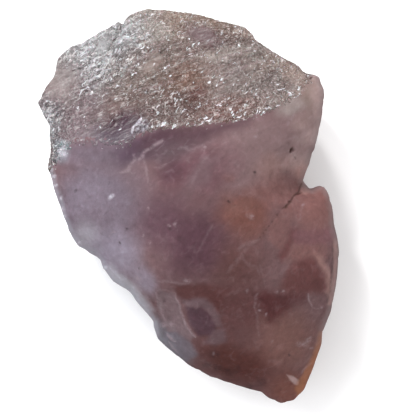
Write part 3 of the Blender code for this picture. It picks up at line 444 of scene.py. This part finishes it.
def rimSearch(bm):
    # a search tree of the outline seen from above, where top and side meet
    outline = []
    for edge in bm.edges:
        tilts = sorted(face.normal.z for face in edge.link_faces)
        if tilts[0] < 0.02 < tilts[-1] and edge.calc_face_angle() > 0.3:
            outline += [edge.verts[0].co.copy(), (edge.verts[0].co + edge.verts[1].co) / 2]
    tree = kdtree.KDTree(len(outline))
    for i, dot in enumerate(outline):
        tree.insert((dot.x / mm, dot.y / mm, 0.0), i)
    tree.balance()
    return tree


def planOf(verts):
    # places seen from above, in millimetres
    return np.array([(v.co.x / mm, v.co.y / mm) for v in verts])


def refineMarks(bm):
    # a finer mesh on the etched skin, and where lines and specks lie on the upper side
    plan = planOf(bm.verts)
    near = plan[:, 1] > ridgeHeightAt(plan[:, 0]) - stoneValues["markReach"]
    for kind, width, strength, rise, points in strokes.values():
        near |= strokeGap(plan, points)[0] < width + stoneValues["markReach"]
    for edge, strength, tint, points in facePanes.values():
        if edge < stoneValues["crispEdge"]:
            near |= strokeGap(plan, points + points[:1])[0] < edge
    for kind, reach, turn, strength, rise, places in specks.values():
        for place in places:
            near |= np.linalg.norm(plan - np.array(place), axis=1) < reach[0] + stoneValues["markReach"]
    bm.verts.index_update()
    edges = [e for e in bm.edges if near[e.verts[0].index] and near[e.verts[1].index]
             and e.verts[0].normal.z > 0.1 and e.calc_length() > stoneValues["markStep"] * mm]
    bmesh.ops.subdivide_edges(bm, edges=edges, cuts=1)
    bmesh.ops.triangulate(bm, faces=bm.faces)
    print("stone: refined", len(edges), "edges near marks, now", len(bm.faces), "triangles")


def smoothPass(bm, verts, factor):
    bmesh.ops.smooth_vert(bm, verts=verts, factor=factor,
                          use_axis_x=True, use_axis_y=True, use_axis_z=True)


def makeBody():
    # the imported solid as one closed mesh, refined and softened
    values = stoneValues
    bm = bmesh.new()
    bm.from_mesh(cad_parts["auralite"].data)
    bmesh.ops.remove_doubles(bm, verts=bm.verts, dist=values["weld"])
    print("stone: welded", len(bm.verts), "points")
    rimTree = rimSearch(bm)

    def rimGap(vert):
        return rimTree.find((vert.co.x / mm, vert.co.y / mm, 0.0))[2]

    faceVerts = [v for v in bm.verts if v.normal.z > 0.3 and rimGap(v) > 1.5
                 and v.co.y / mm < ridgeHeightAt(v.co.x / mm) - 0.8]
    for facetPass in range(values["facetPasses"]):
        smoothPass(bm, faceVerts, values["softness"])
    for level in range(2):
        bmesh.ops.subdivide_edges(bm, edges=bm.edges, cuts=1, use_grid_fill=True)
        bmesh.ops.triangulate(bm, faces=bm.faces)
        for softPass in range(values["softPasses"]):
            loose = [v for v in bm.verts if v.co.z > values["floorLevel"]
                     and (softPass == 0 or rimGap(v) > values["rimKeep"])]
            smoothPass(bm, loose, values["softness"])
    bm.normal_update()
    refineMarks(bm)
    bm.normal_update()
    gaps = np.array([rimGap(v) for v in bm.verts])
    return bm, gaps


def relief(points, skin, top, lively):
    # height of the natural surface in mm at each point, by kind of surface
    values = stoneValues
    lift = np.zeros(len(points))
    for i, point in enumerate(points):
        if skin[i] > 0.0 and top[i] > 0.0:
            warp = noise.noise_vector(point / values["warpSize"]) * values["warpReach"]
            warp += noise.noise_vector(point / values["warpSize"] * 3.0) * values["warpReach"] * 0.35
            rough = values["foldHeight"] * (folds(
                point + warp, values["foldLong"], values["foldWide"], values["foldTurn"], 3.0) - 0.5)
            rough += values["grainHeight"] * (folds(
                point + warp, values["grainLong"], values["grainWide"], values["grainTurn"], 17.0) - 0.5)
            reach = 0.5 + 0.5 * noise.noise(Vector((point.x / 4.5, point.y / 4.5, 31.0)))
            rough += values["ledgeHeight"] * reach * (shelves(
                point, values["ledgeSpacing"], values["ledgeTurn"], 11.0) - 0.5)
            lift[i] += skin[i] * top[i] * lively[i] * rough
        if skin[i] < 1.0 and top[i] > 0.0:
            wave = noise.noise(point / values["faceWaveSize"])
            lift[i] += (1.0 - skin[i]) * top[i] * values["faceWave"] * wave
        if top[i] < 1.0:
            broken = -values["breakHeight"] * abs(noise.noise(point / values["breakSize"]))
            broken += values["breakFine"] * noise.noise(point / values["breakFineSize"])
            lift[i] += (1.0 - top[i]) * broken
    return lift


def paint(red, green, blue):
    # a screen colour, 0 to 255, as linear light
    parts = [c / 255 for c in (red, green, blue)]
    linear = [c / 12.92 if c <= 0.04045 else ((c + 0.055) / 1.055) ** 2.4 for c in parts]
    return (*linear, 1.0)


def blendZones(plan, zones, base):
    # the base colour with the soft patches laid over it in order
    colours = np.tile(np.array(paint(*quartzTints[base])), (len(plan), 1))
    for centre, reach, turn, edge, strength, tint in zones.values():
        mask = (ovalMask(plan, centre, reach, turn, edge) * strength)[:, None]
        colours = colours * (1.0 - mask) + np.array(paint(*quartzTints[tint])) * mask
    return colours


def makeStoneMesh():
    bm, rimGaps = makeBody()
    plan = planOf(bm.verts)
    side = np.where(plan[:, 1] > ridgeHeightAt(plan[:, 0]), 1.0, -1.0)
    skinSide = np.clip(side * strokeGap(plan, ridgeLine)[0], -4.0, 4.0)
    top = np.clip([(v.normal.z + 0.05) / 0.25 for v in bm.verts], 0.0, 1.0)
    skin = smoothStep((skinSide + 0.3) / 1.4)

    lively = np.ones(len(plan))
    loose = plan + drift(plan, 2.5, 0.8, 5.0)
    for centre, reach, turn, edge, level in livelyZones.values():
        mask = ovalMask(loose, centre, reach, turn, edge)
        lively = lively * (1.0 - mask) + level * mask
    calm = 0.35 + 0.65 * smoothStep(rimGaps / 1.6)

    lift = relief([v.co / mm for v in bm.verts], skin, top, lively * calm)
    cut = {kind: np.zeros(len(plan)) for kind in ("pale", "dark", "crack", "frostAndHighlight", "glint")}
    wobbly = plan + drift(plan, 1.1, 0.22, 40.0)
    for kind, width, strength, rise, points in strokes.values():
        mask = strokeMask(wobbly, points, width) * top
        cut[kind] = np.maximum(cut[kind], mask * strength)
        lift += rise * mask
    crumbly = plan + drift(plan, 0.5, 0.12, 60.0)
    for kind, reach, turn, strength, rise, places in specks.values():
        for i, place in enumerate(places):
            mask = ovalMask(crumbly, place, reach, turn + 40.0 * math.sin(5.0 * i), 0.6) * top
            cut[kind] = np.maximum(cut[kind], mask * strength)
            lift += rise * mask
    print("stone: marks placed")

    floorLevel = stoneValues["floorLevel"]
    for vert, rise in zip(bm.verts, lift):
        if vert.co.z > floorLevel:
            vert.co += vert.normal * (rise * mm)
            vert.co.z = max(vert.co.z, floorLevel)
    mesh = bpy.data.meshes.new("auraliteStone")
    bm.to_mesh(mesh)
    bm.free()
    mesh.shade_smooth()

    numbers = {"skinSide": skinSide, "rimGap": np.clip(rimGaps, 0.0, 8.0), "topSide": top,
               "lively": lively, "relief": lift, **{kind + "Mark": cut[kind] for kind in cut}}
    for name, values in numbers.items():
        mesh.attributes.new(name, "FLOAT", "POINT").data.foreach_set("value", values)
    face = blendZones(loose, faceZones, "mauve")
    for edge, strength, tint, points in facePanes.values():
        mask = (paneMask(wobbly, points, edge) * strength)[:, None]
        face = face * (1.0 - mask) + np.array(paint(*quartzTints[tint])) * mask
    colours = {"faceTint": face,
               "skinTint": blendZones(loose, skinZones, "warmGrey")}
    for name, values in colours.items():
        mesh.attributes.new(name, "FLOAT_COLOR", "POINT").data.foreach_set("color", values.ravel())
    print("stone: shaped")
    return mesh


# The quartz: screen colours from 0 to 255, and how it shines and lets light through.
quartzValues = {
    "underLight": (129, 113, 120), "underDark": (89, 67, 77),
    # the two rim colours: a painted sheen along the outline, cool on the left and warm on the right
    "rimSheenLeft": (170, 168, 178), "rimSheenRight": (150, 132, 132),
    "lift": (1.9, 2.05, 2.1, 1.0), "shade": (0.2, 0.12, 0.12, 1.0),
    # the white frost colour is pale frosting with painted highlight; glint is for painted glints
    "pale": (169, 148, 153), "dark": (52, 33, 36), "crack": (86, 50, 42), "frostAndHighlight": (226, 222, 232),
    "glint": (240, 240, 244),
    # crest is a paler frosted crest with painted highlight; the two dark colours after it are painted shade
    # in the creases and on the ground between crests
    "crest": (236, 231, 228), "creaseShade": (84, 69, 64), "groundShade": (138, 134, 133),
    "faceRoughness": 0.58, "skinRoughness": 0.23, "calmRoughness": 0.55, "glintRoughness": 0.12,
    "subsurface": 0.25, "subsurfaceScale": 1.6 * mm,
    "clearness": 0.35, "depthTint": (196, 150, 166), "depthDensity": 160.0,
}


def addNode(tree, kind, inputs=None, **settings):
    node = tree.nodes.new(kind)
    for key, value in settings.items():
        setattr(node, key, value)
    for key, value in (inputs or {}).items():
        if isinstance(value, bpy.types.NodeSocket):
            tree.links.new(value, node.inputs[key])
        else:
            node.inputs[key].default_value = value
    return node


def addMath(tree, operation, *values):
    return addNode(tree, "ShaderNodeMath", dict(enumerate(values)), operation=operation).outputs[0]


def addSteps(tree, value, low, high, toLow=0.0, toHigh=1.0):
    # a smooth step from low to high
    node = addNode(tree, "ShaderNodeMapRange", {
        "Value": value, "From Min": low, "From Max": high, "To Min": toLow, "To Max": toHigh,
    }, interpolation_type="SMOOTHSTEP")
    return node.outputs["Result"]


def mixColour(tree, factor, first, second, blend="MIX"):
    node = addNode(tree, "ShaderNodeMix", {0: factor, 6: first, 7: second},
                   data_type="RGBA", blend_type=blend)
    return node.outputs[2]


def mixValue(tree, factor, first, second):
    return addNode(tree, "ShaderNodeMix", {0: factor, 2: first, 3: second},
                   data_type="FLOAT").outputs[0]


def addNoise(tree, place, scale, detail=4.0, roughness=0.6, distortion=0.0):
    return addNode(tree, "ShaderNodeTexNoise", {
        "Vector": place, "Scale": scale, "Detail": detail, "Roughness": roughness,
        "Distortion": distortion}).outputs["Fac"]


def stretched(tree, place, turn, size):
    # space in which features are as long, wide and tall as size, turned in plan
    return addNode(tree, "ShaderNodeMapping", {
        "Vector": place, "Rotation": (0.0, 0.0, math.radians(turn)), "Scale": size,
    }, vector_type="TEXTURE").outputs["Vector"]


def readNumber(tree, name):
    return addNode(tree, "ShaderNodeAttribute", attribute_name=name).outputs["Fac"]


def readColour(tree, name):
    return addNode(tree, "ShaderNodeAttribute", attribute_name=name).outputs["Color"]


def crests(tree, place, turn, size, reach):
    # thin winding crests: where a turned and stretched noise crosses its middle
    across = addNoise(tree, stretched(tree, place, turn, size), 1.0, 1.2, 0.5)
    gap = addMath(tree, "ABSOLUTE", addMath(tree, "SUBTRACT", across, 0.5))
    return addSteps(tree, gap, reach, 0.0)


def faceColour(tree, place, values):
    # smooth crystal: patches, lighter and darker clouds, wisps and a paler rim, which is a painted sheen
    # along the outline
    face = readColour(tree, "faceTint")
    cloud = addNoise(tree, place, 0.55, 6.0, 0.62, 0.6)
    dusk = addNoise(tree, place, 0.9, 5.0)
    mottle = addNoise(tree, stretched(tree, place, 40, (0.9, 0.55, 0.7)), 1.0, 4.0, 0.65)
    for layer, spread in ((cloud, 0.16), (dusk, 0.14), (mottle, 0.18)):
        lighter = addSteps(tree, layer, 0.5, 0.75, 0.0, spread)
        face = mixColour(tree, lighter, face, values["lift"], "MULTIPLY")
        darker = addSteps(tree, layer, 0.5, 0.25, 0.0, spread)
        face = mixColour(tree, darker, face, values["shade"], "MULTIPLY")
    wisps = crests(tree, place, 40, (2.4, 1.3, 1.5), 0.09)
    wisps = addMath(tree, "MULTIPLY", wisps, addSteps(tree, cloud, 0.45, 0.65, 0.0, 0.09))
    wisps = addMath(tree, "MULTIPLY", wisps, readNumber(tree, "lively"))
    face = mixColour(tree, wisps, face, paint(*values["pale"]))
    # painted sheen along the outline, strongest at the rim and left out at the low end
    rim = readNumber(tree, "rimGap")
    axes = addNode(tree, "ShaderNodeSeparateXYZ", {"Vector": place}).outputs
    rimSheenTint = mixColour(tree, addSteps(tree, axes["X"], 2.0, 12.0), paint(*values["rimSheenLeft"]),
                        paint(*values["rimSheenRight"]))
    wander = addMath(tree, "MULTIPLY_ADD", addNoise(tree, place, 0.8), 1.2, -0.6)
    reach = addMath(tree, "ADD", rim, wander)
    share = addMath(tree, "MULTIPLY", addSteps(tree, reach, 1.5, 0.0, 0.0, 0.6),
                    addSteps(tree, axes["Y"], -24.0, -18.0))
    face = mixColour(tree, share, face, rimSheenTint)
    return face, dusk


def skinColour(tree, place, values):
    # etched skin: patches, streaks and crests of paler frosting with painted highlight, painted shade in
    # the creases and on the ground between them, and painted glints
    skin = readColour(tree, "skinTint")
    lively = readNumber(tree, "lively")
    # streaks of painted shade and painted highlight along the ledges
    streaks = addNoise(tree, stretched(tree, place, 24, (3.2, 0.8, 1.5)), 1.0, 5.0, 0.65)
    skin = mixColour(tree, addSteps(tree, streaks, 0.48, 0.75, 0.0, 0.35), skin, paint(*values["creaseShade"]))
    skin = mixColour(tree, addSteps(tree, streaks, 0.45, 0.25, 0.0, 0.30), skin, paint(*values["crest"]))
    # ledge lines: painted highlight on the crests and painted shade below them, clearer towards the left
    lines = addNoise(tree, stretched(tree, place, 20, (2.6, 0.42, 0.8)), 1.0, 4.0, 0.6, 0.5)
    across = addNode(tree, "ShaderNodeSeparateXYZ", {"Vector": place}).outputs["X"]
    clarity = addMath(tree, "MULTIPLY", addSteps(tree, across, -6.0, -12.0, 0.30, 0.46),
                      addSteps(tree, lively, 0.0, 0.7, 0.3, 1.0))
    lineHighlight = addMath(tree, "MULTIPLY", addSteps(tree, lines, 0.52, 0.68), clarity)
    skin = mixColour(tree, lineHighlight, skin, paint(*values["crest"]))
    lineShade = addMath(tree, "MULTIPLY", addSteps(tree, lines, 0.46, 0.30), clarity)
    skin = mixColour(tree, lineShade, skin, paint(*values["creaseShade"]))
    # painted shade in the hollows of the mesh relief
    height = readNumber(tree, "relief")
    skin = mixColour(tree, addSteps(tree, height, -0.02, -0.2, 0.0, 0.4), skin, paint(*values["creaseShade"]))

    bend = addNode(tree, "ShaderNodeTexNoise", {
        "Vector": place, "Scale": 0.4, "Detail": 3.0}).outputs["Color"]
    bend = addNode(tree, "ShaderNodeVectorMath", {0: bend, 1: (0.5, 0.5, 0.5)},
                   operation="SUBTRACT").outputs[0]
    winding = addNode(tree, "ShaderNodeVectorMath", {0: bend, 1: (3.0, 3.0, 3.0), 2: place},
                      operation="MULTIPLY_ADD").outputs[0]
    crowd = addNoise(tree, place, 0.55, 3.0)
    longCrests = addMath(tree, "MULTIPLY", crests(tree, winding, 56, (2.3, 0.95, 1.0), 0.06),
                         addSteps(tree, crowd, 0.40, 0.60))
    shortCrests = crests(tree, winding, 42, (1.05, 0.62, 0.7), 0.075)
    crest = addMath(tree, "MAXIMUM", longCrests, addMath(tree, "MULTIPLY", shortCrests, 0.8))
    crest = addMath(tree, "MULTIPLY", crest, lively)
    # painted shade on the ground between the crests
    groundShade = addMath(tree, "MULTIPLY", addSteps(tree, crest, 0.5, 0.0, 0.0, 0.55), lively)
    skin = mixColour(tree, groundShade, skin, paint(*values["groundShade"]), "MULTIPLY")
    # painted highlight on the crests, together with their paler frosting
    lit = addSteps(tree, addNoise(tree, winding, 0.9, 3.0), 0.38, 0.62, 0.15, 0.95)
    bright = addMath(tree, "MULTIPLY", addSteps(tree, crest, 0.3, 1.2), lit)
    skin = mixColour(tree, bright, skin, paint(*values["crest"]))

    # painted glints gathered in white clumps where the skin is liveliest
    glintClump = addNoise(tree, stretched(tree, winding, 40, (2.1, 0.85, 1.0)), 1.0, 3.0, 0.55)
    glintClump = addMath(tree, "MULTIPLY", addSteps(tree, glintClump, 0.50, 0.64),
                    addSteps(tree, lively, 1.05, 1.35, 0.0, 0.6))
    skin = mixColour(tree, glintClump, skin, paint(*values["glint"]))

    # painted glints: small white dots, crowded near the glint marks and along the ridge
    near = addMath(tree, "MULTIPLY_ADD", crowd, 0.45,
                   addMath(tree, "MULTIPLY", addMath(tree, "MINIMUM", lively, 1.15), 0.07))
    near = addMath(tree, "MULTIPLY_ADD", readNumber(tree, "glintMark"), 0.22, near)
    ridge = addMath(tree, "MULTIPLY", addSteps(tree, readNumber(tree, "skinSide"), 1.6, 0.3, 0.0, 0.05),
                    addSteps(tree, across, -8.0, -3.0))
    near = addMath(tree, "ADD", near, ridge)
    dots = addNoise(tree, stretched(tree, winding, 50, (1.35, 0.42, 0.6)), 1.0, 2.0, 0.5)
    sparkle = addSteps(tree, addMath(tree, "ADD", dots, near), 0.935, 1.0)
    skin = mixColour(tree, addMath(tree, "MULTIPLY", sparkle, 0.95), skin, paint(*values["glint"]))
    return skin, crest, sparkle


def makeQuartz():
    values = quartzValues
    material = bpy.data.materials.new("violetQuartz")
    material.use_nodes = True
    tree = material.node_tree
    shader = tree.nodes["Principled BSDF"]
    coords = addNode(tree, "ShaderNodeTexCoord").outputs["Object"]
    place = addNode(tree, "ShaderNodeVectorMath", {0: coords, "Scale": 1.0 / mm},
                    operation="SCALE").outputs[0]
    face, dusk = faceColour(tree, place, values)
    skin, crest, sparkle = skinColour(tree, place, values)

    # the two finishes meet at the ragged ridge
    across = addNode(tree, "ShaderNodeSeparateXYZ", {"Vector": place}).outputs["X"]
    raggedness = addSteps(tree, across, -3.0, -11.0, 2.4, 5.0)
    ragged = addMath(tree, "SUBTRACT", addNoise(tree, place, 2.2, 2.0, 0.5), 0.5)
    raggedSide = addMath(tree, "MULTIPLY_ADD", ragged, raggedness, readNumber(tree, "skinSide"))
    isSkin = addSteps(tree, raggedSide, -0.12, 0.12)
    colour = mixColour(tree, isSkin, face, skin)

    # broken sides and underside
    under = addNoise(tree, stretched(tree, place, 30, (5.0, 1.7, 1.7)), 1.0, 5.0, 0.65, 0.8)
    underTint = mixColour(tree, addSteps(tree, under, 0.35, 0.65), paint(*values["underDark"]),
                          paint(*values["underLight"]))
    top = readNumber(tree, "topSide")
    colour = mixColour(tree, addSteps(tree, top, 0.6, 0.0, 0.0, 0.6), colour, underTint)

    patchy = addSteps(tree, addNoise(tree, place, 2.2, 3.0), 0.35, 0.6, 0.25, 1.0)
    for kind in ("pale", "dark", "crack", "frostAndHighlight"):
        mark = readNumber(tree, kind + "Mark")
        if kind != "crack":
            mark = addMath(tree, "MULTIPLY", mark, patchy)
        colour = mixColour(tree, mark, colour, paint(*values[kind]))
    tree.links.new(colour, shader.inputs["Base Color"])

    shine = addMath(tree, "MULTIPLY", sparkle, isSkin)
    frosted = addSteps(tree, readNumber(tree, "skinSide"), -4.0, -0.5, values["faceRoughness"], 0.85)
    etched = addSteps(tree, readNumber(tree, "lively"), 0.6, 0.1, values["skinRoughness"],
                      values["calmRoughness"])
    roughness = mixValue(tree, isSkin, frosted, etched)
    roughness = mixValue(tree, shine, roughness, values["glintRoughness"])
    tree.links.new(roughness, shader.inputs["Roughness"])

    # relief too fine for the mesh
    fine = addNoise(tree, stretched(tree, place, 40, (0.75, 0.45, 0.5)), 1.0, 3.0, 0.6)
    skinHeight = addMath(tree, "MULTIPLY_ADD", fine, 1.1, addMath(tree, "MULTIPLY", crest, 0.9))
    faceHeight = addMath(tree, "MULTIPLY_ADD", dusk, 0.25, 0.5)
    height = mixValue(tree, isSkin, faceHeight, skinHeight)
    bump = addNode(tree, "ShaderNodeBump", {"Height": height, "Strength": 1.0,
                                            "Distance": 0.30 * mm}).outputs["Normal"]
    tree.links.new(bump, shader.inputs["Normal"])

    shader.inputs["Subsurface Weight"].default_value = values["subsurface"]
    shader.inputs["Subsurface Radius"].default_value = (1.0, 0.6, 0.7)
    shader.inputs["Subsurface Scale"].default_value = values["subsurfaceScale"]
    shader.inputs["IOR"].default_value = 1.544
    shader.inputs["Transmission Weight"].default_value = values["clearness"]
    absorb = addNode(tree, "ShaderNodeVolumeAbsorption", {
        "Color": paint(*values["depthTint"]), "Density": values["depthDensity"]})
    tree.links.new(absorb.outputs["Volume"], tree.nodes["Material Output"].inputs["Volume"])
    return material


def makeStone():
    stone = bpy.data.objects.new("auralite_stone", makeStoneMesh())
    bpy.context.scene.collection.objects.link(stone)
    stone.data.materials.append(makeQuartz())
    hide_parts("auralite")
    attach(stone, "root")
    print("stone: finished")
    return stone


roomValues = {
    "floorSize": 3.0, "floorColour": (0.95, 0.95, 0.95, 1.0),
    "sky": (0.97, 0.98, 1.0, 1.0), "skyStrength": 1.0,
    "girdle": 10.0 * mm, "frameWidth": 64.7 * mm, "lens": 200.0, "sensor": 36.0,
    "aim": (3.18 * mm, -0.27 * mm),
}
lamps = [
    {"name": "window", "at": (-0.45, 0.38, 0.60), "size": 0.50, "watts": 4.2, "tint": (0.96, 0.98, 1.0),
     "mirrored": False},
    {"name": "coolSide", "at": (-0.62, -0.10, 0.30), "size": 0.50, "watts": 1.0, "tint": (0.82, 0.90, 1.0),
     "mirrored": True},
    {"name": "sparkTop", "at": (-0.15, 0.60, 0.32), "size": 0.09, "watts": 2.4, "tint": (1.0, 1.0, 1.0),
     "mirrored": True},
    {"name": "sparkLeft", "at": (-0.27, 0.50, 0.55), "size": 0.09, "watts": 2.4, "tint": (1.0, 1.0, 1.0),
     "mirrored": True},
    {"name": "warmFill", "at": (0.45, -0.35, 0.40), "size": 0.40, "watts": 1.0, "tint": (1.0, 0.86, 0.76),
     "mirrored": False},
]


def makeRoom():
    values = roomValues
    bm = bmesh.new()
    bmesh.ops.create_grid(bm, x_segments=1, y_segments=1, size=values["floorSize"] / 2)
    mesh = bpy.data.meshes.new("floor")
    bm.to_mesh(mesh)
    bm.free()
    floor = bpy.data.objects.new("floor", mesh)
    bpy.context.scene.collection.objects.link(floor)
    paper = bpy.data.materials.new("palePaper")
    paper.use_nodes = True
    paper.node_tree.nodes["Principled BSDF"].inputs["Base Color"].default_value = values["floorColour"]
    paper.node_tree.nodes["Principled BSDF"].inputs["Roughness"].default_value = 0.9
    mesh.materials.append(paper)
    floor.visible_glossy = False

    # the room gives soft light, but only the lamps are mirrored in the stone
    world = bpy.data.worlds.new("softRoom")
    world.use_nodes = True
    world.node_tree.nodes["Background"].inputs["Color"].default_value = values["sky"]
    world.node_tree.nodes["Background"].inputs["Strength"].default_value = values["skyStrength"]
    world.cycles_visibility.glossy = False
    bpy.context.scene.world = world
    for lamp in lamps:
        light = bpy.data.lights.new(lamp["name"], "AREA")
        light.size = lamp["size"]
        light.energy = lamp["watts"]
        light.color = lamp["tint"]
        holder = bpy.data.objects.new(lamp["name"], light)
        holder.location = lamp["at"]
        aim = Vector((0.0, 0.0, values["girdle"])) - Vector(lamp["at"])
        holder.rotation_euler = aim.to_track_quat("-Z", "Y").to_euler()
        holder.visible_glossy = lamp["mirrored"]
        bpy.context.scene.collection.objects.link(holder)

    lens = bpy.data.cameras.new("above")
    lens.lens = values["lens"]
    lens.sensor_width = values["sensor"]
    lens.clip_start = 0.01
    camera = bpy.data.objects.new("above", lens)
    rise = values["lens"] * values["frameWidth"] / values["sensor"]
    camera.location = (*values["aim"], values["girdle"] + rise)
    bpy.context.scene.collection.objects.link(camera)
    bpy.context.scene.camera = camera
    bpy.context.scene.view_settings.view_transform = "Standard"
    print("room: ready")


makeStone()
makeRoom()
